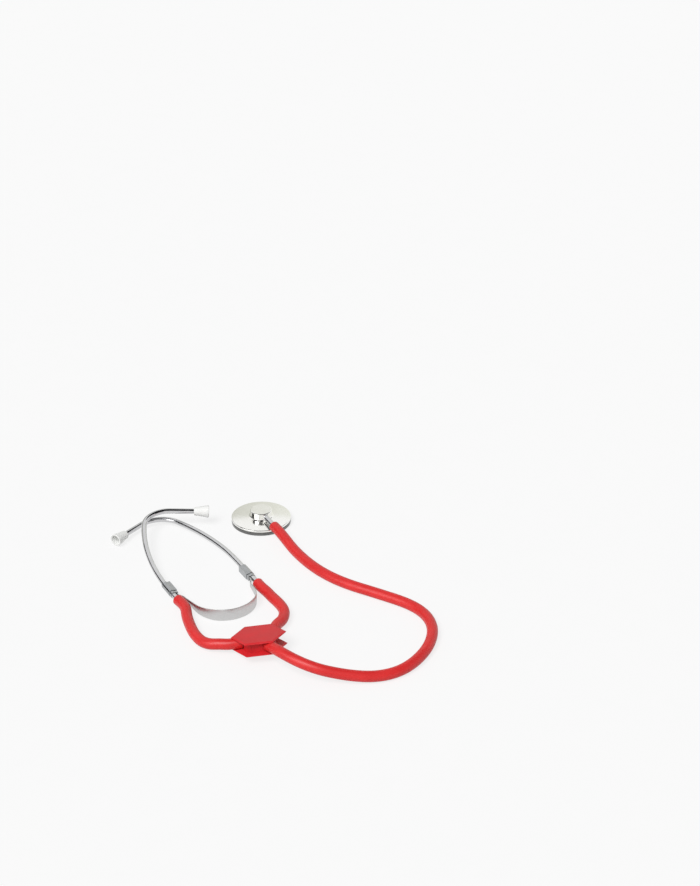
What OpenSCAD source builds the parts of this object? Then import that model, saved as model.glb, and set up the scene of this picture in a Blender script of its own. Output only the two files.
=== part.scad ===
/* [Chest piece] */
// Outside diameter of the chest piece
chest_d = 52; // [46:1:60]
// Width of the ring's lip under the edge of the diaphragm
lip_w = 3.2; // [2.4:0.1:4.5]
// Thickness of the ring's lip
lip_t = 0.8; // [0.5:0.1:1.2]
// Height of the ring's side
ring_h = 2.6; // [2:0.1:3.5]
// Thickness of the ring's side
ring_wall = 1.2; // [0.8:0.1:1.6]
// How far the face of the diaphragm stands out of the lip
diaphragm_step = 0.3; // [0.2:0.1:0.6]
// Thickness of the diaphragm's edge
diaphragm_t = 0.5; // [0.3:0.1:0.8]
// Height of the groove between the ring and the rim of the body
groove_h = 0.6; // [0.4:0.1:1]
// Height of the body's rim
rim_h = 1.6; // [1:0.1:2.4]
// Rounding of the rim's upper edge
rim_round = 0.6; // [0.3:0.1:0.9]
// Rise of the domed dish from the rim to the boss
dish_rise = 0.8; // [0.4:0.1:2]
// Thickness of the dish over the bell
dish_t = 1.6; // [1.2:0.1:2]
// Width of the skirt that presses on the diaphragm's edge
skirt_w = 2.6; // [1.8:0.1:3.5]
// Diameter of the boss on the dish
boss_d = 19; // [15:0.5:24]
// Fillet at the foot of the boss
boss_foot = 1.5; // [0.5:0.1:2.5]
// Rounding of the boss's upper edge
boss_edge = 0.8; // [0.4:0.1:1.5]
// Metal of the boss above the stem
boss_cover = 0.8; // [0.6:0.1:3]
// Diameter of the hole from the bell to the stem
sound_d = 3; // [2:0.1:4]

/* [Stem] */
// Diameter of the stem
stem_d = 5; // [4.8:0.1:7]
// Bore of the stem
stem_bore = 2.4; // [1.5:0.1:3]
// Air between the stem and the dish
stem_gap = 0.2; // [0.2:0.1:1]
// Depth of the stem in the boss
stem_seat = 5; // [3:0.5:7]
// Bare length of the stem from the boss to the hose
stem_bare = 17; // [16.5:0.5:24]
// Direction of the stem round the chest piece
stem_turn = -91; // [-100:1:-80]

/* [Hoses] */
// Outside diameter of a hose
hose_d = 9; // [8:0.1:10]
// Place of the left ear's hose end along the headset
left_hose_top = -10.5; // [-16:0.5:-10.5]
// Place of the right ear's hose end along the headset
right_hose_top = -18; // [-20:0.5:-16]
// Length of a spigot inside a hose
spigot_len = 10; // [6:0.5:12]
// Wall of a spigot round its own bore
spigot_wall = 0.8; // [0.5:0.1:1]
// Air between a spigot or an ear tube and the bore of its hose, on one side
spigot_gap = 0.1; // [0.05:0.05:0.2]

/* [Connector] */
// Place of the connector across, seen from the headset's middle
connector_x = -5; // [-7:1:-2]
// Place of the connector along, seen from the headset's middle
connector_y = -102.5; // [-105:0.5:-100]
// Size of a six-sided plate from corner to corner
plate_d = 44; // [40:0.5:50]
// Thickness of a plate
plate_t = 1.2; // [1:0.1:2]
// Width of the sloping border of a plate
bevel_w = 1.5; // [0.6:0.1:2.5]
// Height of the sloping border
bevel_h = 0.7; // [0.3:0.1:0.9]
// Turn of the connector, to the corner by the right ear's hose
connector_turn = 36; // [30:1:42]
// Tilt of the connector, which stands on its corner toward the headset
connector_tilt = 12; // [6:0.5:14]
// Air between a hose and a plate
plate_gap = 0.15; // [0.1:0.05:1]
// Diameter of the hub between the plates
hub_d = 26; // [20:0.5:28]
// Diameter of the chamber in the hub where the three bores meet
chamber_d = 6; // [5:0.5:7]
// Height of the chamber
chamber_h = 5; // [4:0.5:6]
// Diameter of the hub's pins in the plates
pin_d = 8; // [5:0.5:9]
// Length of a pin
pin_len = 0.6; // [0.4:0.1:0.8]
// Air between the hub and the end of a hose
stop_gap = 0.5; // [0.3:0.1:2]

/* [Headset] */
// Place of the headset's middle across, seen from the chest piece
headset_x = -86; // [-100:1:-80]
// Place of the headset's middle along, seen from the chest piece
headset_y = -81; // [-95:1:-75]
// Distance between the straight ends of the two ear tubes
headset_w = 69; // [64:1:80]
// Height of the ear tubes' axes
tube_z = 5.5; // [5.5:0.1:8]

/* [Ear tubes] */
// Outside diameter of an ear tube
tube_d = 4.6; // [4:0.1:4.8]
// Wall of an ear tube
tube_wall = 0.5; // [0.3:0.1:0.8]
// Place of the lower end of an ear tube along the headset
tube_start = -24; // [-26:1:-22]
// Place where the right ear tube starts to bow inward
right_bow = 24; // [22:0.5:26]
// Place where the left ear tube starts to bow inward
left_bow = 19; // [18.5:0.5:30]
// Radius of the long bow
bow_r = 195; // [180:5:240]
// Turn of the long bow
bow_angle = 24; // [20:0.5:26]
// Radius of the hook at the top
hook_r = 22; // [20:0.5:30]
// Turn of the hook
hook_angle = 91.5; // [90:0.5:105]
// Straight end of the tube after the hook
tube_end = 25; // [22:0.5:32]
// Straight length between two bends
bend_lead = 2; // [1:0.5:4]
// How much a bend is drawn thinner than the straight tube
bend_thin = 0.01; // [0.01:0.01:0.05]
// Lift of the left tube over the right one
lift_angle = 5.7; // [5.5:0.1:8]
// Radius of the bend that lifts the left tube
lift_r = 40; // [20:1:60]

/* [Spring] */
// Thickness of the leaf spring
spring_t = 0.7; // [0.5:0.1:1]
// Height of the leaf spring
spring_h = 10.4; // [8:0.1:10.6]
// Flare of the spring's legs
flare_angle = 7; // [4:1:14]
// Place of the spring's round bottom along the headset
spring_bottom = -52; // [-58:1:-46]
// Slope of the joggle between a leg and its tongue
joggle_angle = 36; // [34:1:45]
// Radius of the joggle's two bends
joggle_r = 6; // [5:0.5:8]
// Straight length between the joggle's two bends
joggle_len = 1; // [0.5:0.5:2]
// Place where the joggle meets the tongue
tongue_start = -4.5; // [-5:0.5:-4]
// Height of a tongue in its clip
tongue_h = 3.2; // [2.6:0.1:5]
// Place where the spring starts to narrow
taper_from = -46; // [-48:1:-36]
// Place where the spring has narrowed to a tongue
taper_to = -14; // [-20:1:-6]

/* [Spring clips] */
// Place of the left clip's lower end along the headset
clip_start = -3; // [-3.5:0.5:0]
// How much lower the right clip sits on its tube
right_slip = 5.5; // [0:0.5:6]
// Length of a clip's sleeve
clip_len = 18; // [14:0.5:20]
// Length of the crimped neck at the lower end of the sleeve
neck_len = 3.5; // [2:0.5:5]
// Wall of the sleeve
clip_wall = 0.8; // [0.6:0.1:1.2]
// Wall of the neck
neck_wall = 0.4; // [0.3:0.1:0.5]
// Air between a tongue and its clip
tongue_gap = 0.2; // [0.1:0.1:0.4]
// Depth of a tongue's end below the top of its clip
tongue_inset = 2; // [1:0.5:6]

/* [Ear tips] */
// Length of an ear tip
tip_len = 13; // [12.5:0.5:18]
// Diameter of the neck of an ear tip
tip_neck_d = 7; // [6.5:0.1:9]
// Diameter of the mouth of an ear tip
tip_mouth_d = 10.8; // [10:0.1:10.8]
// Wall at the mouth
tip_wall = 0.9; // [0.6:0.1:1.2]
// Taper of the cup's inside, on one side
cup_taper = 0.7; // [0.3:0.1:1]
// Depth of the cup
cup_depth = 7.2; // [7:0.1:8]
// Depth of the socket for the tube
tip_seat = 4.5; // [3.5:0.5:5]
// Diameter of the sound hole
tip_hole_d = 2.4; // [1.5:0.1:3]
// Rounding of the edges of an ear tip
tip_round = 0.4; // [0.2:0.1:0.45]

/* [Fits] */
// Running and push fits, on one side
fit = 0.05; // [0.02:0.01:0.1]

/* [Hidden] */
$fn = 96;
eps = 0.01;
over = 1;

// Heights in the chest piece, up from the face of the diaphragm
lip_top = diaphragm_step + lip_t;
skirt_z = lip_top + diaphragm_t;
ring_top = diaphragm_step + ring_h;
rim_z = ring_top + groove_h;
rim_top = rim_z + rim_h;
dish_top = rim_top + dish_rise;
stem_z = dish_top + stem_gap + stem_d / 2;
boss_top = stem_z + stem_d / 2 + boss_cover;

// Radii in the chest piece
chest_r = chest_d / 2;
skirt_r = chest_r - ring_wall - fit;
bell_r = skirt_r - skirt_w;
lip_r = chest_r - ring_wall - lip_w;
boss_r = boss_d / 2;
foot_r = boss_r + boss_foot;

// The dish is part of a ball that passes through the rim and the foot of the boss
dish_r = chest_r - rim_round;
dish_drop = (pow(dish_r, 2) - pow(foot_r, 2) - pow(dish_rise, 2)) / (2 * dish_rise);
dish_ball = sqrt(pow(dish_r, 2) + pow(dish_drop, 2));
dish_centre = rim_top - dish_drop;

// Stem and spigots
hose_bore = tube_d + 2 * spigot_gap;
spigot_d = tube_d;
spigot_bore = spigot_d - 2 * spigot_wall;
stem_reach = boss_r + stem_bare;

// Connector
connector_at = [headset_x + connector_x, headset_y + connector_y];
right_spigot = connector_turn;
left_spigot = connector_turn + 120;
chest_spigot = connector_turn + 240;
spigots = [right_spigot, left_spigot, chest_spigot];
hose_stop = hub_d / 2 + stop_gap;
gap_h = hose_d + 2 * plate_gap;
hub_z = plate_t + gap_h / 2;
plate_flat = plate_d / 2 * cos(30);
foot_corner = plate_d / 2 - bevel_w / cos(30);
connector_z = hub_z * cos(connector_tilt) + foot_corner * sin(connector_tilt);
connector_mid = [connector_at.x, connector_at.y, connector_z];

// Headset
tube_r = tube_d / 2;
bend_lap = 0.1;
tube_x = headset_w / 2;
clip_top = clip_start + clip_len;
tongue_x = tube_x - tube_r - spring_t / 2 - tongue_gap;
tongue_len = clip_top - tongue_inset - tongue_start;

// The spring's leg and round, which meet the lower end of the joggle
joggle_x = joggle_r * (1 + cos(flare_angle) - 2 * cos(joggle_angle)) + joggle_len * sin(joggle_angle);
joggle_y = joggle_r * (2 * sin(joggle_angle) - sin(flare_angle)) + joggle_len * cos(joggle_angle);
leg_x = tongue_x - joggle_x;
leg_rise = tongue_start - joggle_y - spring_bottom;
round_share = (1 - sin(flare_angle)) / cos(flare_angle);
leg_len = (leg_rise - leg_x * round_share) / (cos(flare_angle) - round_share * sin(flare_angle));
round_r = (leg_x - leg_len * sin(flare_angle)) / cos(flare_angle);
round_angle = 90 - flare_angle;

// A clip that sits lower has a shorter leg below it and a longer joggle
leg_cut = right_slip / (cos(flare_angle) - sin(flare_angle) / tan(joggle_angle));
joggle_add = leg_cut * sin(flare_angle) / sin(joggle_angle);

// Hose routes: each starts and ends straight on its two spigots
hose_z = hose_d / 2 + 0.1;
hose_sides = 12;
route_lead = 2.5;
left_end = [headset_x - tube_x, headset_y + left_hose_top, tube_z];
right_end = [headset_x + tube_x, headset_y + right_hose_top, tube_z];
left_lead = [headset_x - tube_x, headset_y + tube_start - route_lead, tube_z];
right_lead = [headset_x + tube_x, headset_y + tube_start - route_lead, tube_z];
left_route = concat(
    [left_end, left_lead],
    [[-122.5, -113.5, 5], [-125, -122, hose_z], [-127, -131, hose_z], [-128.5, -140, hose_z],
     [-129, -149.5, 4.8], [-128, -158, 5.3], [-124.5, -165, 6.3], [-119, -170, 7.4]],
    hub_lead(left_spigot)
);
right_route = concat(
    [right_end, right_lead],
    [[-50.5, -114, 5], [-50, -122, hose_z], [-49.5, -130.5, hose_z], [-49.5, -139, hose_z],
     [-51, -147, hose_z], [-54.7, -154, 4.8], [-60, -160, 5.5], [-66.5, -165, 6.4]],
    hub_lead(right_spigot)
);
chest_route = concat(
    [for (p = [1:-1:0]) hub_lead(chest_spigot)[p]],
    [[-85.5, -219.5, 15.8], [-79, -233, 14.6], [-69.5, -243.5, 12], [-58, -251, 9],
     [-45, -258, 6.5], [-31.5, -263.5, 5], [-17, -266, hose_z], [-3, -264, hose_z],
     [10.5, -258, hose_z], [23, -249.5, hose_z], [34, -238.5, hose_z], [42.5, -225.5, hose_z],
     [47, -210.5, hose_z], [46.5, -195.5, hose_z], [41.5, -181, hose_z], [33.5, -166.5, hose_z],
     [25, -152.5, hose_z], [16.5, -138.5, hose_z], [9.5, -124, hose_z], [4.5, -109, hose_z],
     [1.5, -93.5, hose_z], [0, -78, 4.8], [-0.8, -63, 5.9], [-0.8, -50, 7.5]],
    [chest_lead(spigot_len + route_lead), chest_lead(0)]
);

// Last two points of a route that ends on the hub
function hub_lead(turn) =
    [for (r = [hose_stop + spigot_len + route_lead, hose_stop])
        connector_mid + tilted([r * cos(turn), r * sin(turn)])];

// Place in the world of a point in the connector's own plane, from the middle of its hub
function tilted(v) = [v.x, v.y * cos(connector_tilt), -v.y * sin(connector_tilt)];

// Point on the stem's axis, a distance past the end of its bare length
function chest_lead(past) =
    [(stem_reach + past) * cos(stem_turn), (stem_reach + past) * sin(stem_turn), stem_z];

function unit(v) = v / norm(v);

// Direction of a route at one of its points
function heading(route, i) =
    let (last = len(route) - 1)
    unit(route[min(i + 1, last)] - route[max(i - 1, 0)]);

// One ring of points square to the route
function ring(route, i, r, sides) =
    let (ahead = heading(route, i), side = unit(cross(ahead, [0, 0, 1])), up = cross(side, ahead))
    [for (k = [0:sides - 1])
        let (a = 360 * (k + 0.5) / sides)
        route[i] + r * (cos(a) * side + sin(a) * up)];

// Triangles between two rows of points that close round
function band(a, b, sides) =
    [for (k = [0:sides - 1])
        let (n = (k + 1) % sides)
        each [[a + k, b + k, b + n], [a + k, b + n, a + n]]];

// Hollow hose swept along a route, with a ring at each of its points
module hose(route) {
    outer = hose_d / 2;
    inner = hose_bore / 2 / cos(180 / hose_sides);
    rows = len(route);
    skin = rows * hose_sides;
    points = [
        for (i = [0:rows - 1]) each ring(route, i, outer, hose_sides),
        for (i = [0:rows - 1]) each ring(route, i, inner, hose_sides)
    ];
    faces = [
        for (i = [0:rows - 2]) each band(i * hose_sides, (i + 1) * hose_sides, hose_sides),
        for (i = [0:rows - 2]) each band(skin + (i + 1) * hose_sides, skin + i * hose_sides, hose_sides),
        each band(skin, 0, hose_sides),
        each band(skin - hose_sides, 2 * skin - hose_sides, hose_sides)
    ];
    color("#e0332e") polyhedron(points, faces);
}

// Straight length along +Y with the section that is given
module run(length) {
    translate([0, length, 0]) rotate([90, 0, 0]) linear_extrude(length) children(0);
}

// Bend from +Y toward -X, which laps into its neighbours by a small angle
module turn_left(r, turn, lap = 0) {
    translate([-r, 0, 0]) rotate([0, 0, -lap]) rotate_extrude(angle = turn + 2 * lap)
        translate([r, 0]) children(0);
}

// Places what carries on after a straight length or a bend
module after_run(length) {
    translate([0, length, 0]) children();
}

module after_turn(r, turn) {
    translate([-r, 0, 0]) rotate([0, 0, turn]) translate([r, 0, 0]) children();
}

// Places the right half of the headset, or its mirror image
module headset_side(left) {
    translate([headset_x, headset_y, 0])
        if (left) mirror([1, 0, 0]) children();
        else children();
}

// Chest piece body: a domed dish with a boss, hollowed as a bell below
module chestpiece_body() {
    color("#dcdcd6") difference() {
        rotate_extrude() difference() {
            union() {
                translate([0, skirt_z]) square([skirt_r, rim_z - skirt_z + eps]);
                translate([0, rim_z]) square([chest_r, rim_h - rim_round]);
                translate([0, rim_top - rim_round - eps]) square([dish_r, rim_round + eps]);
                translate([dish_r, rim_top - rim_round]) circle(rim_round);
                intersection() {
                    translate([0, dish_centre]) circle(dish_ball, $fn = 360);
                    translate([0, rim_top - eps]) square([dish_r, dish_rise + boss_foot]);
                }
                translate([0, rim_top]) square([boss_r, boss_top - rim_top - boss_edge]);
                translate([0, boss_top - boss_edge - eps]) square([boss_r - boss_edge, boss_edge + eps]);
                translate([boss_r - boss_edge, boss_top - boss_edge]) circle(boss_edge);
                difference() {
                    translate([boss_r - eps, rim_top]) square([boss_foot, dish_rise + boss_foot]);
                    translate([foot_r, dish_top + boss_foot]) circle(boss_foot);
                }
            }
            bell();
            translate([-2 * chest_r, 0]) square([2 * chest_r, boss_top + over]);
        }
        rotate([0, 0, stem_turn]) translate([boss_r - stem_seat, 0, stem_z])
            rotate([0, 90, 0]) cylinder(h = stem_seat + boss_foot, d = stem_d + 2 * fit);
        translate([0, 0, skirt_z]) cylinder(h = stem_z - skirt_z, d = sound_d);
        rotate([0, 0, stem_turn]) translate([0, 0, stem_z])
            rotate([0, 90, 0]) cylinder(h = boss_r - stem_seat + eps, d = stem_bore);
    }
}

// Hollow under the dish, a shallow cone up to the sound hole
module bell() {
    polygon([[0, skirt_z - over], [bell_r, skirt_z - over], [bell_r, rim_top - dish_t], [0, dish_top - dish_t]]);
}

// Thin plastic disc, stepped so that its face stands out through the ring
module diaphragm() {
    color("#f2f2ec") {
        translate([0, 0, lip_top]) cylinder(h = diaphragm_t, r = skirt_r);
        cylinder(h = lip_top + eps, r = lip_r - fit);
    }
}

// Turned ring that holds the diaphragm's edge up against the skirt
module diaphragm_ring() {
    color("#b8b8b2") translate([0, 0, diaphragm_step]) difference() {
        cylinder(h = ring_h, r = chest_r);
        translate([0, 0, -eps]) cylinder(h = ring_h + over, r = lip_r);
        translate([0, 0, lip_t]) cylinder(h = ring_h, r = chest_r - ring_wall);
    }
}

// Stem: a bored rod in the side of the boss, stepped down to a spigot for the hose
module chestpiece_stem() {
    color("silver") rotate([0, 0, stem_turn]) translate([0, 0, stem_z]) rotate([0, 90, 0])
        difference() {
            union() {
                translate([0, 0, boss_r - stem_seat]) cylinder(h = stem_seat + stem_bare, d = stem_d);
                translate([0, 0, stem_reach]) cylinder(h = spigot_len, d = spigot_d);
            }
            translate([0, 0, boss_r - stem_seat - over])
                cylinder(h = stem_seat + stem_bare + spigot_len + 2 * over, d = stem_bore);
        }
}

module chest_hose() {
    hose(chest_route);
}

module left_hose() {
    hose(left_route);
}

module right_hose() {
    hose(right_route);
}

// Places the connector, which lies tilted, by the middle of its hub
module on_connector() {
    translate(connector_mid) rotate([-connector_tilt, 0, 0]) children();
}

// Three-way hub: a drum with a pin at each end and a bored spigot for each hose
module connector_hub() {
    color("#c8282d") on_connector() difference() {
        union() {
            cylinder(h = gap_h, d = hub_d, center = true);
            cylinder(h = gap_h + 2 * pin_len, d = pin_d, center = true);
            for (turn = spigots) hub_spigot(turn, spigot_len, spigot_d);
        }
        cylinder(h = chamber_h, d = chamber_d, center = true);
        for (turn = spigots) hub_spigot(turn, spigot_len + over, spigot_bore);
    }
}

// Round bar from inside the hub to a length past the end of a hose
module hub_spigot(turn, past, d) {
    start = chamber_d / 2 - over;
    rotate([0, 90, turn]) translate([0, 0, start]) cylinder(h = hose_stop + past - start, d = d);
}

// Six-sided plate with bevelled outer edges, and a socket for the hub's pin
module connector_plate() {
    color("#d62a30") difference() {
        intersection_for(i = [0:2])
            rotate([90, 0, connector_turn + 30 + 60 * i]) linear_extrude(plate_d, center = true) plate_section();
        translate([0, 0, -eps]) cylinder(h = pin_len + fit + eps, d = pin_d + 2 * fit);
    }
}

// Section across two opposite sides of a plate
module plate_section() {
    polygon([
        [-plate_flat, 0], [plate_flat, 0], [plate_flat, plate_t - bevel_h],
        [plate_flat - bevel_w, plate_t], [bevel_w - plate_flat, plate_t],
        [-plate_flat, plate_t - bevel_h]
    ]);
}

module connector_top_plate() {
    on_connector() translate([0, 0, gap_h / 2]) connector_plate();
}

module connector_bottom_plate() {
    on_connector() mirror([0, 0, 1]) translate([0, 0, gap_h / 2]) connector_plate();
}

// Section of the spring's strip, with its middle on the route
module strip_section(thinner) {
    translate([thinner - spring_t / 2, tube_z - spring_h / 2]) square([spring_t - 2 * thinner, spring_h]);
}

module bent_strip(r, turn) {
    turn_left(r, turn, asin(bend_lap / r)) strip_section(bend_thin);
    after_turn(r, turn) children();
}

module straight_strip(length) {
    run(length) strip_section(0);
    after_run(length) children();
}

// Right half of the spring above its round: a flared leg, a joggle and the tongue
module spring_half(cut, add) {
    translate([0, spring_bottom, 0]) rotate([0, 0, -90]) after_turn(round_r, round_angle)
        straight_strip(leg_len - cut)
        mirror([1, 0, 0]) bent_strip(joggle_r, joggle_angle - flare_angle)
        mirror([1, 0, 0]) straight_strip(joggle_len + add)
        bent_strip(joggle_r, joggle_angle)
        straight_strip(tongue_len);
}

// Round bottom of the spring, from one leg to the other
module spring_round() {
    translate([0, spring_bottom + round_r, 0]) rotate([0, 0, -90 - round_angle])
        translate([round_r, 0, 0]) bent_strip(round_r, 2 * round_angle);
}

// Side view of the spring: full height round the bottom, tapered to the tongues
module spring_profile() {
    low = spring_bottom - over;
    high = clip_top + over;
    polygon([
        [low, tube_z - spring_h], [taper_from, tube_z - spring_h / 2 - eps],
        [taper_to, tube_z - tongue_h / 2], [high, tube_z - tongue_h / 2],
        [high, tube_z + tongue_h / 2], [taper_to, tube_z + tongue_h / 2],
        [taper_from, tube_z + spring_h / 2 + eps], [low, tube_z + spring_h]
    ]);
}

// Leaf spring: one strip of spring steel bent into a U, on edge
module leaf_spring() {
    color("#c8c8c8") translate([headset_x, headset_y, 0]) intersection() {
        union() {
            spring_round();
            spring_half(leg_cut, joggle_add);
            mirror([1, 0, 0]) spring_half(0, 0);
        }
        rotate([90, 0, 90]) translate([0, 0, -headset_w]) linear_extrude(2 * headset_w) spring_profile();
    }
}

// Section of a clip: sheet metal wrapped round the tube and the tongue beside it
module clip_section(wall) {
    inner_x = tongue_x - tube_x - spring_t / 2 - tongue_gap;
    slot_h = tongue_h / 2 + tongue_gap;
    difference() {
        union() {
            circle(tube_r + fit + wall);
            translate([inner_x - wall, -slot_h - wall]) square([-inner_x + wall, 2 * (slot_h + wall)]);
        }
        circle(tube_r + fit);
        translate([inner_x, -slot_h]) square([-inner_x - tube_r * cos(45), 2 * slot_h]);
    }
}

module spring_clip(left) {
    start = left ? clip_start : clip_start - right_slip;
    color("#a8a8a8") headset_side(left) translate([tube_x, start, tube_z]) {
        run(neck_len) clip_section(neck_wall);
        after_run(neck_len) run(clip_len - neck_len) clip_section(clip_wall);
    }
}

module left_spring_clip() {
    spring_clip(true);
}

module right_spring_clip() {
    spring_clip(false);
}

module tube_section(thinner) {
    difference() {
        circle(tube_r - thinner);
        circle(tube_r - tube_wall + thinner);
    }
}

module straight_tube(length, drawn) {
    if (drawn) run(length) tube_section(0);
    after_run(length) children();
}

module bent_tube(r, turn, drawn) {
    if (drawn) turn_left(r, turn, asin(bend_lap / r)) tube_section(bend_thin);
    after_turn(r, turn) children();
}

// Bend that lifts the tube out of the plane of the headset
module raised_tube(lift, drawn) {
    if (lift > 0)
        rotate([0, 90, 0]) bent_tube(lift_r, lift, drawn)
            rotate([0, -90, 0]) straight_tube(bend_lead, drawn) children();
    else children();
}

// Ear tube: straight below, a long bow inward, then a hook that crosses over to the other side
module tube_path(left, lift, drawn) {
    raise_len = lift > 0 ? lift_r * sin(lift) + bend_lead * cos(lift) : 0;
    headset_side(left) translate([tube_x, tube_start, tube_z])
        straight_tube((left ? left_bow : right_bow) - tube_start - raise_len, drawn)
        raised_tube(lift, drawn)
        bent_tube(bow_r, bow_angle, drawn)
        straight_tube(bend_lead, drawn)
        bent_tube(hook_r, hook_angle, drawn)
        straight_tube(tube_end, drawn)
        children();
}

module left_ear_tube() {
    color("#c0c0c0") tube_path(true, lift_angle, true);
}

module right_ear_tube() {
    color("#c0c0c0") tube_path(false, 0, true);
}

// Ear tip: a soft cup that flares from the neck to the mouth, with a socket for the tube
module ear_tip() {
    mouth_r = tip_mouth_d / 2;
    neck_r = tip_neck_d / 2;
    cup_r = mouth_r - tip_wall;
    floor_z = tip_len - cup_depth;
    color("#f4f4f4") rotate([-90, 0, 0]) translate([0, 0, -tip_seat]) rotate_extrude() difference() {
        union() {
            translate([neck_r - tip_round, tip_round]) circle(tip_round);
            square([neck_r - tip_round, tip_round + eps]);
            polygon([[0, tip_round], [neck_r, tip_round], [mouth_r, tip_len - tip_round], [0, tip_len - tip_round]]);
            translate([0, tip_len - tip_round - eps]) square([mouth_r - tip_round, tip_round + eps]);
            translate([mouth_r - tip_round, tip_len - tip_round]) circle(tip_round);
        }
        translate([-over, -over]) square([over + tube_r + fit, tip_seat + over]);
        translate([-over, 0]) square([over + tip_hole_d / 2, tip_len]);
        polygon([
            [-over, floor_z], [cup_r - cup_taper, floor_z], [cup_r, tip_len],
            [cup_r, tip_len + over], [-over, tip_len + over]
        ]);
    }
}

module left_ear_tip() {
    tube_path(true, lift_angle, false) ear_tip();
}

module right_ear_tip() {
    tube_path(false, 0, false) ear_tip();
}

chestpiece_body();
diaphragm();
diaphragm_ring();
chestpiece_stem();
chest_hose();
left_hose();
right_hose();
connector_hub();
connector_top_plate();
connector_bottom_plate();
leaf_spring();
left_spring_clip();
right_spring_clip();
left_ear_tube();
right_ear_tube();
left_ear_tip();
right_ear_tip();
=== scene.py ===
import math

import bmesh
import bpy
import numpy as np
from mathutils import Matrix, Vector


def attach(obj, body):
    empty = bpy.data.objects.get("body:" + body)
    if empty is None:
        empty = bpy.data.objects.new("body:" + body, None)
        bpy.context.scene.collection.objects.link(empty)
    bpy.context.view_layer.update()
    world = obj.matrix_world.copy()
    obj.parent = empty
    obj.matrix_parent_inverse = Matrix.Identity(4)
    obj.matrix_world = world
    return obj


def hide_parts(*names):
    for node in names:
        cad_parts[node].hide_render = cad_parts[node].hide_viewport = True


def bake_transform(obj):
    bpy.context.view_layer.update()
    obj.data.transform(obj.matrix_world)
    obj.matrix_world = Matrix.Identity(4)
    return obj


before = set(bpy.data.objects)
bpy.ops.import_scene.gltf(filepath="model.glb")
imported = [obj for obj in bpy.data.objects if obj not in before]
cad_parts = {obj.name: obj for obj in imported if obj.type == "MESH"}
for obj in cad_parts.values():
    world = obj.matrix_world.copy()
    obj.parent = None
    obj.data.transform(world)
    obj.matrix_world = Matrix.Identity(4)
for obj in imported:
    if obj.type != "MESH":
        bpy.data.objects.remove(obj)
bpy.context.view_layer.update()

# Table and camera: the stethoscope lies on a pale table and is seen from the foot of the headset,
# a little to its left and well above. The lens is long, so the shapes are hardly foreshortened.
scene = bpy.context.scene
scene.view_settings.view_transform = "Standard"

view_target = Vector((0.1374, 0.0920, 0.0))
view_distance = 1.965
view_azimuth = math.radians(-28.11)
view_elevation = math.radians(28.0)
view_from = Vector((
    math.sin(view_azimuth) * math.cos(view_elevation),
    -math.cos(view_azimuth) * math.cos(view_elevation),
    math.sin(view_elevation),
))
camera = bpy.data.objects.new("camera", bpy.data.cameras.new("camera"))
camera.data.lens = 85
camera.data.sensor_width = 36
camera.data.clip_end = 30
camera.location = view_target + view_distance * view_from
camera.rotation_euler = (-view_from).to_track_quat("-Z", "Y").to_euler()
scene.collection.objects.link(camera)
scene.camera = camera


class Shade:
    """One output of a shader tree; sums with numbers or other outputs add Math nodes."""

    def __init__(self, tree, socket=None):
        self.tree = tree
        self.socket = socket

    def node(self, kind, settings=None, inputs=None, out=0):
        made = self.tree.nodes.new(kind)
        for name, value in (settings or {}).items():
            setattr(made, name, value)
        for name, value in (inputs or {}).items():
            if isinstance(value, Shade):
                self.tree.links.new(value.socket, made.inputs[name])
            else:
                made.inputs[name].default_value = value
        return Shade(self.tree, made.outputs[out])

    def math(self, operation, first, second=0.0):
        return self.node("ShaderNodeMath", {"operation": operation}, {0: first, 1: second})

    def __add__(self, other):
        return self.math("ADD", self, other)

    def __sub__(self, other):
        return self.math("SUBTRACT", self, other)

    def __rsub__(self, other):
        return self.math("SUBTRACT", other, self)

    def __mul__(self, other):
        return self.math("MULTIPLY", self, other)

    __radd__ = __add__
    __rmul__ = __mul__


def finish(name, constants):
    """A material with its Principled shader's plain sockets set, and a start for its own nodes."""
    material = bpy.data.materials.new(name)
    material.use_nodes = True
    shader = material.node_tree.nodes["Principled BSDF"]
    for socket, value in constants.items():
        shader.inputs[socket].default_value = value
    return material, shader, Shade(material.node_tree)


def feed(shader, **links):
    """Links what varies over a surface into the Principled shader."""
    for socket, shade in links.items():
        shade.tree.links.new(shade.socket, shader.inputs[socket.replace("_", " ")])


def colour_mix(shade, factor, first, second):
    return shade.node(
        "ShaderNodeMix", {"data_type": "RGBA"}, {0: factor, 6: first, 7: second}, out=2
    )


def spread(shade, low, high):
    """A noise value, mostly between 0.3 and 0.7, spread over a range."""
    return shade.node(
        "ShaderNodeMapRange", None,
        {"Value": shade, "From Min": 0.3, "From Max": 0.7, "To Min": low, "To Max": high},
    )


def noise(start, vector, scale, detail=3.0, roughness=0.5):
    return start.node(
        "ShaderNodeTexNoise", None,
        {"Vector": vector, "Scale": scale, "Detail": detail, "Roughness": roughness},
    )


def object_place(start):
    return start.node("ShaderNodeTexCoord", out=3)


def stretched(start, vector, factors):
    return start.node("ShaderNodeVectorMath", {"operation": "MULTIPLY"}, {0: vector, 1: factors})


def from_axis(start, place):
    """Distance from the upright axis of the model, which is the axis of the chest piece."""
    across = stretched(start, place, (1.0, 1.0, 0.0))
    return start.node("ShaderNodeVectorMath", {"operation": "LENGTH"}, {0: across}, out=1)


def dress(names, material):
    """Puts a material on CAD nodes."""
    for name in names:
        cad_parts[name].material_slots[0].material = material


def seen(start):
    """One for what the camera sees, itself or in a mirror or through glass; zero for other light."""
    return (
        start.node("ShaderNodeLightPath", out="Is Camera Ray")
        + start.node("ShaderNodeLightPath", out="Is Glossy Ray")
        + start.node("ShaderNodeLightPath", out="Is Transmission Ray")
    )


def bump(shade, height, strength, distance):
    return shade.node(
        "ShaderNodeBump", None,
        {"Height": height, "Strength": strength, "Distance": distance},
    )


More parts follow.
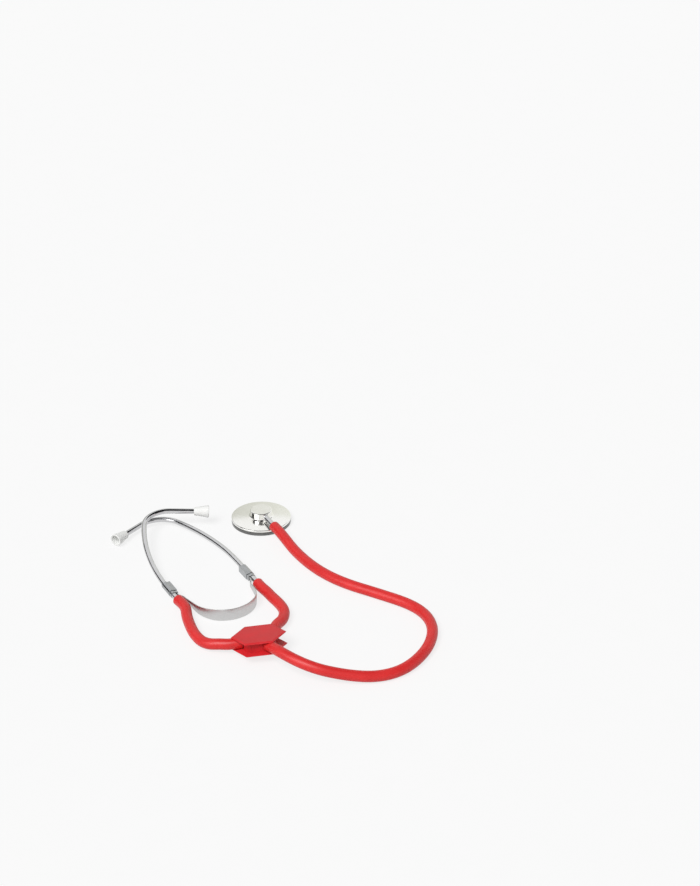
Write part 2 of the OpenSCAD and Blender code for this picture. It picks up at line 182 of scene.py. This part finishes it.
table_material, table_shader, start = finish("table_paper", {"Roughness": 0.9, "Specular IOR Level": 0.2})
grain = noise(start, object_place(start), 40.0)
feed(table_shader, Base_Color=colour_mix(start, grain, (0.80, 0.80, 0.80, 1), (0.84, 0.84, 0.84, 1)))
white_share = 0.8
glow = start.node("ShaderNodeEmission", None, {"Color": (0.99, 0.99, 0.99, 1)})
mostly_white = start.node("ShaderNodeMixShader", None, {
    0: seen(start) * white_share, 1: Shade(start.tree, table_shader.outputs[0]), 2: glow,
})
start.tree.links.new(mostly_white.socket, start.tree.nodes["Material Output"].inputs["Surface"])
table_mesh = bpy.data.meshes.new("table")
reach = 8.0
table_top = -0.0002
table_mesh.from_pydata(
    [(x * reach, y * reach, table_top) for x, y in ((-1, -1), (1, -1), (1, 1), (-1, 1))],
    [], [(0, 1, 2, 3)],
)
table_mesh.materials.append(table_material)
table = bpy.data.objects.new("table", table_mesh)
scene.collection.objects.link(table)

# Studio light: an even white room and a wide soft lamp from the upper left. Dark flags, a window and a grey
# back wall round the table show only as streaks, gleams and shades on what is polished.
room = bpy.data.worlds.new("room")
scene.world = room
room.use_nodes = True
room_start = Shade(room.node_tree)
room_light = 0.36
room_shade = room.node_tree.nodes["Background"]
room_shade.inputs["Color"].default_value = (1, 1, 1, 1)
room_level = room_start.node(
    "ShaderNodeMapRange", None, {"Value": seen(room_start), "To Min": room_light, "To Max": 1.0}
)
room.node_tree.links.new(room_level.socket, room_shade.inputs["Strength"])

lamp = bpy.data.objects.new("lamp", bpy.data.lights.new("lamp", "SUN"))
lamp.data.angle = math.radians(30)
lamp.data.energy = 2.5
lamp.rotation_euler = Vector((0.55, 0.30, -0.78)).to_track_quat("-Z", "Y").to_euler()
scene.collection.objects.link(lamp)

black = (0.006, 0.006, 0.007, 1)
bright = (4.0, 4.0, 4.0, 1)
for name, left, right, corners in (
    ("ceiling_flag", black, black, [(-1.6, -1.6, 1.1), (1.6, -1.6, 1.1), (1.6, 0.7, 1.1), (-1.6, 0.7, 1.1)]),
    ("front_flag", black, black, [(0.1, -1.6, 0.5), (1.6, -1.6, 0.5), (1.6, -1.6, 1.1), (0.1, -1.6, 1.1)]),
    ("left_window", bright, bright, [(-1.4, -0.9, 0.4), (-1.4, 0.15, 0.4), (-1.4, 0.15, 1.4), (-1.4, -0.9, 1.4)]),
    ("left_flag", black, black, [(-1.4, 0.25, 0.0), (-1.4, 1.9, 0.0), (-1.4, 1.9, 1.3), (-1.4, 0.25, 1.3)]),
    ("corner_flag", black, black, [(-1.4, 1.9, 0.0), (-1.0, 2.4, 0.0), (-1.0, 2.4, 0.95), (-1.4, 1.9, 0.95)]),
    (
        "back_wall", (0.46, 0.465, 0.42, 1), (0.92, 0.93, 0.86, 1),
        [(-1.0, 2.4, 0.0), (2.6, 0.9, 0.0), (2.6, 0.9, 1.1), (-1.0, 2.4, 1.1)],
    ),
):
    cloth, cloth_shader, start = finish(
        name + "_cloth", {"Base Color": black, "Roughness": 1.0, "Emission Strength": 1.0}
    )
    sideways = start.node("ShaderNodeSeparateXYZ", None, {"Vector": object_place(start)})
    share = start.node("ShaderNodeMapRange", None, {"Value": sideways, "From Min": 0.2, "From Max": 1.2})
    feed(cloth_shader, Emission_Color=colour_mix(start, share, left, right))
    card_mesh = bpy.data.meshes.new(name)
    card_mesh.from_pydata(corners, [], [(0, 1, 2, 3)])
    card_mesh.materials.append(cloth)
    card = bpy.data.objects.new(name, card_mesh)
    card.visible_camera = False
    card.visible_diffuse = False
    card.visible_shadow = False
    card.visible_transmission = False
    scene.collection.objects.link(card)

# Hoses: extruded soft red vinyl, pushed over the stem, the connector's spigots and the ear tubes.
# Each lies on the table in an easy curve; the cut ends are square with a slightly softened edge.
hose_radius = 0.0045
hose_bore = 0.0024
hose_table = 0.0046
hose_sides = 40
hose_step = 0.0016
cord_step = 0.004

chest_hose_route = [
    (-0.00046, -0.0265, 0.0086), (-0.00068, -0.039, 0.0086),
    (-0.0008, -0.050, 0.0075), (-0.0008, -0.063, 0.0059), (0.0, -0.078, 0.0048),
    (0.0015, -0.0935, hose_table), (0.0045, -0.109, hose_table), (0.0095, -0.124, hose_table),
    (0.0165, -0.1385, hose_table), (0.025, -0.1525, hose_table), (0.0335, -0.1665, hose_table),
    (0.0415, -0.181, hose_table), (0.0465, -0.1955, hose_table), (0.047, -0.2105, hose_table),
    (0.0425, -0.2255, hose_table), (0.034, -0.2385, hose_table), (0.023, -0.2495, hose_table),
    (0.0105, -0.258, hose_table), (-0.003, -0.264, hose_table), (-0.017, -0.266, hose_table),
    (-0.0315, -0.2635, 0.005), (-0.045, -0.258, 0.0065), (-0.058, -0.251, 0.009),
    (-0.0695, -0.2435, 0.012), (-0.079, -0.233, 0.0146), (-0.0855, -0.2195, 0.0158),
    (-0.08828, -0.20879, 0.01531), (-0.08959, -0.19663, 0.01273),
]
left_hose_route = [
    (-0.10333, -0.17813, 0.00879), (-0.11475, -0.17316, 0.00774),
    (-0.119, -0.170, 0.0074), (-0.1245, -0.165, 0.0063), (-0.128, -0.158, 0.0053),
    (-0.129, -0.1495, 0.0048), (-0.1285, -0.140, hose_table), (-0.127, -0.131, hose_table),
    (-0.125, -0.122, hose_table), (-0.1225, -0.1135, 0.005),
    (-0.1205, -0.1075, 0.0055), (-0.1205, -0.0915, 0.0055),
]
right_hose_route = [
    (-0.08008, -0.17574, 0.00829), (-0.06997, -0.16855, 0.00676),
    (-0.0665, -0.165, 0.0064), (-0.060, -0.160, 0.0055), (-0.0547, -0.154, 0.0048),
    (-0.051, -0.147, hose_table), (-0.0495, -0.139, hose_table), (-0.0495, -0.1305, hose_table),
    (-0.050, -0.122, hose_table), (-0.0505, -0.114, 0.005),
    (-0.0515, -0.1075, 0.0055), (-0.0515, -0.099, 0.0055),
]


def smooth_route(points, step):
    """A cubic curve through the points, straight at both ends, cut into equal steps."""
    p = np.array(points, float)
    t = np.concatenate([[0], np.cumsum(np.linalg.norm(np.diff(p, axis=0), axis=1))])
    h = np.diff(t)
    n = len(p)
    rows = np.zeros((n, n))
    right = np.zeros((n, 3))
    rows[0, 0] = rows[-1, -1] = 1
    for i in range(1, n - 1):
        rows[i, i - 1:i + 2] = h[i - 1], 2 * (h[i - 1] + h[i]), h[i]
        right[i] = 6 * ((p[i + 1] - p[i]) / h[i] - (p[i] - p[i - 1]) / h[i - 1])
    curve = np.linalg.solve(rows, right)

    def at(s):
        i = np.clip(np.searchsorted(t, s, side="right") - 1, 0, n - 2)
        a, b = (t[i + 1] - s)[:, None], (s - t[i])[:, None]
        w = h[i][:, None]
        return (
            curve[i] * a ** 3 / (6 * w) + curve[i + 1] * b ** 3 / (6 * w)
            + (p[i] / w - curve[i] * w / 6) * a + (p[i + 1] / w - curve[i + 1] * w / 6) * b
        )

    fine = at(np.linspace(0, t[-1], 4000))
    run = np.concatenate([[0], np.cumsum(np.linalg.norm(np.diff(fine, axis=0), axis=1))])
    places = np.linspace(0, run[-1], int(round(run[-1] / step)) + 1)
    return np.column_stack([np.interp(places, run, fine[:, k]) for k in range(3)]), run[-1]


def tube_mesh(name, route, outline, sides, material):
    """Rings round a route; outline gives (how far along, radius) pairs from bore to bore."""
    line = np.array(route)
    lengths = np.concatenate([[0], np.cumsum(np.linalg.norm(np.diff(line, axis=0), axis=1))])
    ahead = np.gradient(line, lengths, axis=0)
    ahead /= np.linalg.norm(ahead, axis=1)[:, None]
    side = np.cross(ahead, (0, 0, 1))
    side /= np.linalg.norm(side, axis=1)[:, None]
    above = np.cross(side, ahead)
    turn = np.linspace(0, 2 * math.pi, sides, endpoint=False)
    verts = []
    for along, radius in outline:
        middle, s, u = (
            np.array([np.interp(along, lengths, frame_part[:, k]) for k in range(3)])
            for frame_part in (line, side, above)
        )
        verts.extend(middle + radius * (math.cos(a) * s + math.sin(a) * u) for a in turn)
    faces = []
    for r in range(len(outline) - 1):
        for k in range(sides):
            n = (k + 1) % sides
            faces.append((r * sides + k, (r + 1) * sides + k, (r + 1) * sides + n, r * sides + n))
    mesh = bpy.data.meshes.new(name)
    mesh.from_pydata([tuple(v) for v in verts], [], faces)
    uv = mesh.uv_layers.new(name="UVMap")
    for face in mesh.polygons:
        row, k = divmod(face.index, sides)
        corners = ((row, k), (row + 1, k), (row + 1, k + 1), (row, k + 1))
        for loop, (r, c) in zip(face.loop_indices, corners):
            uv.data[loop].uv = (c / sides, outline[r][0])
    mesh.shade_smooth()
    mesh.materials.append(material)
    piece = bpy.data.objects.new(name, mesh)
    scene.collection.objects.link(piece)
    return piece


def hose_outline(length):
    """Bore, softened cut edge, the whole outside, then the same at the far end."""
    depth, edge = 0.006, 0.0005
    near = [(depth, hose_bore), (edge, hose_bore), (0.0, hose_bore + edge / 2)]
    near += [
        (edge * (1 - math.sin(a)), hose_radius - edge + edge * math.cos(a))
        for a in np.linspace(math.pi / 2, 0, 6)
    ]
    middle = [(s, hose_radius) for s in np.arange(hose_step, length - hose_step / 2, hose_step)]
    return near + middle + [(length - s, r) for s, r in reversed(near)]


vinyl, vinyl_shader, start = finish("red_vinyl", {
    "Subsurface Weight": 0.06,
    "Subsurface Radius": (0.004, 0.001, 0.001),
    "Subsurface Scale": 1.0,
    "Specular IOR Level": 0.35,
})
on_hose = start.node("ShaderNodeUVMap", {"uv_map": "UVMap"})
along_hose = stretched(start, on_hose, (26.0, 30.0, 0.0))
draw_lines = noise(start, along_hose, 1.0, detail=4.0, roughness=0.6)
place = object_place(start)
cloud = noise(start, place, 55.0, detail=4.0)
speck = noise(start, place, 900.0, detail=2.0)
vinyl_red = colour_mix(start, spread(cloud, 0.0, 1.0), (0.62, 0.020, 0.020, 1), (0.70, 0.027, 0.027, 1))
feed(
    vinyl_shader,
    Base_Color=vinyl_red,
    Roughness=spread(cloud, 0.36, 0.44) + 0.06 * speck - 0.03,
    Normal=bump(start, draw_lines + 0.3 * speck, 0.05, 0.0003),
)


def make_hose(name, points, node):
    route, length = smooth_route(points, cord_step)
    fine, length = smooth_route(points, hose_step)
    piece = tube_mesh(name, fine, hose_outline(length), hose_sides, vinyl)
    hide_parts(node)
    return piece


chest_hose = make_hose("chest_hose_skin", chest_hose_route, "chest_hose")
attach(chest_hose, "trunk")
left_hose = make_hose("left_hose_skin", left_hose_route, "left_hose")
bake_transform(left_hose)
right_hose = make_hose("right_hose_skin", right_hose_route, "right_hose")
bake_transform(right_hose)

# Chest piece: a dish with a boss and a clamping ring, both turned from metal and polished; the ring's much darker
# colour is painted dark reflection. The tool leaves fine rings round the axis, which is the axis of the whole
# model.
for name, dark, light in (
    ("chestpiece_body", (0.88, 0.875, 0.84, 1), (0.93, 0.925, 0.90, 1)),
    # painted dark reflection: the ring's dark colour stands in for the dark band reflected on its side
    ("diaphragm_ring", (0.14, 0.14, 0.14, 1), (0.20, 0.20, 0.195, 1)),
):
    turned, turned_shader, start = finish(name + "_metal", {"Metallic": 1.0})
    place = object_place(start)
    on_radius = start.node("ShaderNodeCombineXYZ", None, {"X": from_axis(start, place)})
    tool_rings = noise(start, on_radius, 2600.0, detail=3.0, roughness=0.7)
    cloud = noise(start, place, 90.0, detail=4.0)
    feed(
        turned_shader,
        Base_Color=colour_mix(start, spread(cloud, 0, 1), dark, light),
        Roughness=spread(tool_rings, 0.08, 0.16) + spread(cloud, -0.01, 0.02),
        Normal=bump(start, tool_rings, 0.08, 0.0002),
    )
    dress([name], turned)

# Diaphragm: a thin disc of milky plastic, moulded with faint rings, held under the bell by the ring.
milky, milky_shader, start = finish("milky_plastic", {
    "Subsurface Weight": 0.15, "Subsurface Radius": (0.003, 0.003, 0.0025), "Subsurface Scale": 1.0,
})
place = object_place(start)
ripple = start.math("SINE", from_axis(start, place) * 2400.0)
cloud = noise(start, place, 120.0)
feed(
    milky_shader,
    Base_Color=colour_mix(start, spread(cloud, 0, 1), (0.83, 0.83, 0.78, 1), (0.89, 0.89, 0.85, 1)),
    Roughness=spread(cloud, 0.30, 0.42),
    Normal=bump(start, ripple, 0.1, 0.0001),
)
dress(["diaphragm"], milky)

# Plated steel: the stem and the ear tubes are bright plated, with faint handling marks that dull the
# plate in patches and fine lines left by the polishing belt.
plated, plated_shader, start = finish("bright_plate", {"Metallic": 1.0})
place = object_place(start)
patches = noise(start, place, 160.0, detail=5.0, roughness=0.6)
belt = noise(start, stretched(start, place, (3000.0, 250.0, 3000.0)), 1.0, detail=2.0)
feed(
    plated_shader,
    Base_Color=colour_mix(start, spread(patches, 0, 1), (0.56, 0.56, 0.57, 1), (0.64, 0.64, 0.65, 1)),
    Roughness=spread(patches, 0.06, 0.14) + spread(belt, 0.0, 0.03),
    Normal=bump(start, belt, 0.05, 0.0001),
)
dress(["chestpiece_stem", "left_ear_tube", "right_ear_tube"], plated)

# Spring clips: thin sheet wrapped round the tubes, with a greyer and duller plate than the tubes and
# lines across it from the folding tool.
dull_plate, dull_shader, start = finish("dull_plate", {"Metallic": 1.0})
place = object_place(start)
patches = noise(start, place, 260.0, detail=4.0, roughness=0.6)
folds = noise(start, stretched(start, place, (200.0, 2600.0, 200.0)), 1.0, detail=2.0)
feed(
    dull_shader,
    Base_Color=colour_mix(start, spread(patches, 0, 1), (0.36, 0.37, 0.38, 1), (0.46, 0.47, 0.48, 1)),
    Roughness=spread(patches, 0.16, 0.26) + spread(folds, 0.0, 0.04),
    Normal=bump(start, folds, 0.08, 0.0002),
)
dress(["left_spring_clip", "right_spring_clip"], dull_plate)

# Connector: a hub between two six-sided plates, moulded in red plastic a shade deeper than the hoses.
# The moulding has a fine satin grain and softened edges that catch the light.
moulded, moulded_shader, start = finish("red_moulding", {"Specular IOR Level": 0.15})
place = object_place(start)
flow = noise(start, place, 70.0, detail=3.0)
satin = noise(start, place, 2200.0, detail=2.0)
feed(
    moulded_shader,
    Base_Color=colour_mix(start, spread(flow, 0, 1), (0.62, 0.024, 0.030, 1), (0.69, 0.030, 0.037, 1)),
    Roughness=spread(flow, 0.34, 0.42) + spread(satin, -0.03, 0.03),
    Normal=bump(start, satin, 0.1, 0.0002),
)
dress(["connector_hub"], moulded)


def softened_copy(node, name, material, width):
    """A merged copy of a CAD node with its sharp edges rounded."""
    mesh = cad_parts[node].data.copy()
    mesh.name = name
    shape = bmesh.new()
    shape.from_mesh(mesh)
    bmesh.ops.remove_doubles(shape, verts=shape.verts, dist=1e-6)
    bmesh.ops.dissolve_limit(
        shape, angle_limit=math.radians(1), verts=shape.verts, edges=shape.edges
    )
    shape.to_mesh(mesh)
    shape.free()
    mesh.materials.clear()
    mesh.materials.append(material)
    piece = bpy.data.objects.new(name, mesh)
    scene.collection.objects.link(piece)
    bevel = piece.modifiers.new("edges", "BEVEL")
    bevel.width = width
    bevel.segments = 3
    bevel.limit_method = "ANGLE"
    bevel.angle_limit = math.radians(15)
    bevel.harden_normals = True
    mesh.shade_smooth()
    return piece


plate_edge = 0.00025
for node in ("connector_top_plate", "connector_bottom_plate"):
    plate = softened_copy(node, node + "_moulding", moulded, plate_edge)
    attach(plate, "trunk")
    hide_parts(node)

# Leaf spring: one strip of spring steel on edge, bent into a U that holds the ear tubes together.
# Its satin face has the long fine lines of rolling; the ends narrow to tongues inside the clips.
headset_middle = (-0.086, -0.081)
spring_thick = 0.0007
spring_high = 0.0104
spring_corner = 0.0002
spring_mid = 0.0055
bottom_y = -0.052
leg_flare = math.radians(7)
joggle_slope = math.radians(36)
joggle_radius = 0.006
joggle_straight = 0.001
tongue_out = 0.03165
tongue_y = -0.0045
tongue_length = 0.0175
tongue_high = 0.0032
taper_from = -0.046
taper_to = -0.014
right_slip = 0.0055

satin_steel, steel_shader, start = finish("satin_spring_steel", {"Metallic": 1.0})
along_strip = start.node("ShaderNodeAttribute", {"attribute_name": "along"}, out=2)
place = object_place(start)
height = start.node("ShaderNodeSeparateXYZ", None, {"Vector": place}, out=2)
on_strip = start.node("ShaderNodeCombineXYZ", None, {"X": along_strip * 120.0, "Y": height * 9000.0})
roll_lines = noise(start, on_strip, 1.0, detail=4.0, roughness=0.65)
cloud = noise(start, place, 80.0)
feed(
    steel_shader,
    Base_Color=colour_mix(start, spread(roll_lines, 0, 1), (0.55, 0.55, 0.55, 1), (0.66, 0.66, 0.655, 1)),
    Roughness=spread(roll_lines, 0.30, 0.42) + spread(cloud, -0.03, 0.03),
    Normal=bump(start, roll_lines, 0.12, 0.0001),
)


def strip_tree():
    """Geometry nodes that wrap a flat strip round a curve and narrow it to a tongue."""
    tree = bpy.data.node_groups.new("spring_strip", "GeometryNodeTree")
    sizes = [
        ("Thickness", spring_thick), ("Height", spring_high), ("Corner", spring_corner), ("Middle", spring_mid),
        ("Taper start", 0.0), ("Taper end", 0.0), ("Tongue share", tongue_high / spring_high),
    ]
    tree.interface.new_socket("Route", in_out="INPUT", socket_type="NodeSocketGeometry")
    for label, value in sizes:
        socket = tree.interface.new_socket(label, in_out="INPUT", socket_type="NodeSocketFloat")
        socket.default_value = value
    metal = tree.interface.new_socket("Metal", in_out="INPUT", socket_type="NodeSocketMaterial")
    metal.default_value = satin_steel
    tree.interface.new_socket("Strip", in_out="OUTPUT", socket_type="NodeSocketGeometry")
    entry = tree.nodes.new("NodeGroupInput").outputs
    leave = tree.nodes.new("NodeGroupOutput").inputs

    def add(kind, settings=None, **links):
        made = tree.nodes.new(kind)
        for key, value in (settings or {}).items():
            setattr(made, key, value)
        for key, value in links.items():
            target = made.inputs[int(key[1:])] if key[0] == "_" else made.inputs[key.replace("_", " ")]
            if isinstance(value, bpy.types.NodeSocket):
                tree.links.new(value, target)
            else:
                target.default_value = value
        return made.outputs

    upright = add("GeometryNodeSetCurveNormal", {"mode": "Z_UP"}, Curve=entry["Route"])
    length = add("GeometryNodeSplineParameter")["Length"]
    marked = add(
        "GeometryNodeStoreNamedAttribute", {"data_type": "FLOAT", "domain": "POINT"},
        Geometry=upright["Curve"], Name="along", Value=length,
    )["Geometry"]
    flat = add(
        "GeometryNodeCurvePrimitiveQuadrilateral", Width=entry["Thickness"], Height=entry["Height"]
    )["Curve"]
    edged = add("GeometryNodeFilletCurve", {"mode": "POLY"}, Curve=flat, Radius=entry["Corner"], Count=3)
    strip = add("GeometryNodeCurveToMesh", Curve=marked, Profile_Curve=edged["Curve"], Fill_Caps=True)["Mesh"]
    where = add("GeometryNodeInputPosition")["Position"]
    parts = add("ShaderNodeSeparateXYZ", Vector=where)
    share = add(
        "ShaderNodeMapRange", Value=parts["Y"], From_Min=entry["Taper start"], From_Max=entry["Taper end"],
        To_Min=1.0, To_Max=entry["Tongue share"],
    )["Result"]
    above = add("ShaderNodeMath", {"operation": "SUBTRACT"}, _0=parts["Z"], _1=entry["Middle"])["Value"]
    narrowed = add(
        "ShaderNodeMath", {"operation": "MULTIPLY_ADD"}, _0=above, _1=share, _2=entry["Middle"]
    )["Value"]
    moved = add("ShaderNodeCombineXYZ", X=parts["X"], Y=parts["Y"], Z=narrowed)["Vector"]
    tapered = add("GeometryNodeSetPosition", Geometry=strip, Position=moved)["Geometry"]
    whole = add("GeometryNodeRealizeInstances", Geometry=tapered)["Geometry"]
    plated_strip = add("GeometryNodeSetMaterial", Geometry=whole, Material=entry["Metal"])["Geometry"]
    tree.links.new(plated_strip, leave["Strip"])
    return tree


def half_spring_line(sign, slip):
    """The middle line of half the spring, from the bottom of the U to the end of the tongue."""
    flare, slope, r = leg_flare, joggle_slope, joggle_radius
    joggle_x = r * (1 + math.cos(flare) - 2 * math.cos(slope)) + joggle_straight * math.sin(slope)
    joggle_y = r * (2 * math.sin(slope) - math.sin(flare)) + joggle_straight * math.cos(slope)
    share = (1 - math.sin(flare)) / math.cos(flare)
    leg_x = tongue_out - joggle_x
    leg = (tongue_y - joggle_y - bottom_y - leg_x * share) / (math.cos(flare) - share * math.sin(flare))
    round_radius = (leg_x - leg * math.sin(flare)) / math.cos(flare)
    cut = slip / (math.cos(flare) - math.sin(flare) / math.tan(slope))
    add = cut * math.sin(flare) / math.sin(slope)
    place, heading, line = np.array([0.0, bottom_y]), 0.0, [np.array([0.0, bottom_y])]
    for length, turn, parts in (
        (round_radius * (math.pi / 2 - flare), math.pi / 2 - flare, 40),
        (leg - cut, 0.0, 14),
        (r * (slope - flare), flare - slope, 8),
        (joggle_straight + add, 0.0, 4),
        (r * slope, slope, 8),
        (tongue_length, 0.0, 12),
    ):
        for k in range(parts):
            middle = heading + turn / parts / 2
            place = place + length / parts * np.array([math.cos(middle), math.sin(middle)])
            heading += turn / parts
            line.append(place)
    return [(headset_middle[0] + sign * x, headset_middle[1] + y, spring_mid) for x, y in line]


spring_nodes = strip_tree()
for side_name, sign, body, slip in (("left", -1, "left_ear", 0.0), ("right", 1, "right_ear", right_slip)):
    line = half_spring_line(sign, slip)
    bend_line = bpy.data.curves.new(side_name + "_spring_line", "CURVE")
    bend_line.dimensions = "3D"
    spline = bend_line.splines.new("POLY")
    spline.points.add(len(line) - 1)
    for point, where in zip(spline.points, line):
        point.co = (*where, 1)
    maker = bpy.data.objects.new(side_name + "_spring_line", bend_line)
    scene.collection.objects.link(maker)
    wrap = maker.modifiers.new("strip", "NODES")
    wrap.node_group = spring_nodes
    inputs = {
        item.name: item.identifier for item in spring_nodes.interface.items_tree if item.in_out == "INPUT"
    }
    wrap[inputs["Taper start"]] = headset_middle[1] + taper_from
    wrap[inputs["Taper end"]] = headset_middle[1] + taper_to
    bpy.context.view_layer.update()
    strip_mesh = bpy.data.meshes.new_from_object(maker.evaluated_get(bpy.context.evaluated_depsgraph_get()))
    bpy.data.objects.remove(maker)
    half = bpy.data.objects.new(side_name + "_half_spring", strip_mesh)
    scene.collection.objects.link(half)
    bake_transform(half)
    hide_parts("leaf_spring")

# Ear tips: soft cups of milky white vinyl, pushed on the ends of the tubes. The surface is matt, with
# faint clouds and fine specks from the mould.
white_vinyl, white_shader, start = finish("white_vinyl", {"Specular IOR Level": 0.2})
place = object_place(start)
cloud = noise(start, place, 220.0, detail=3.0)
speck = noise(start, place, 1800.0)
feed(
    white_shader,
    Base_Color=colour_mix(start, spread(cloud, 0, 1), (0.80, 0.805, 0.79, 1), (0.84, 0.845, 0.83, 1)),
    Roughness=spread(cloud, 0.42, 0.52),
    Normal=bump(start, cloud + 0.3 * speck, 0.04, 0.0003),
)
dress(["left_ear_tip", "right_ear_tip"], white_vinyl)
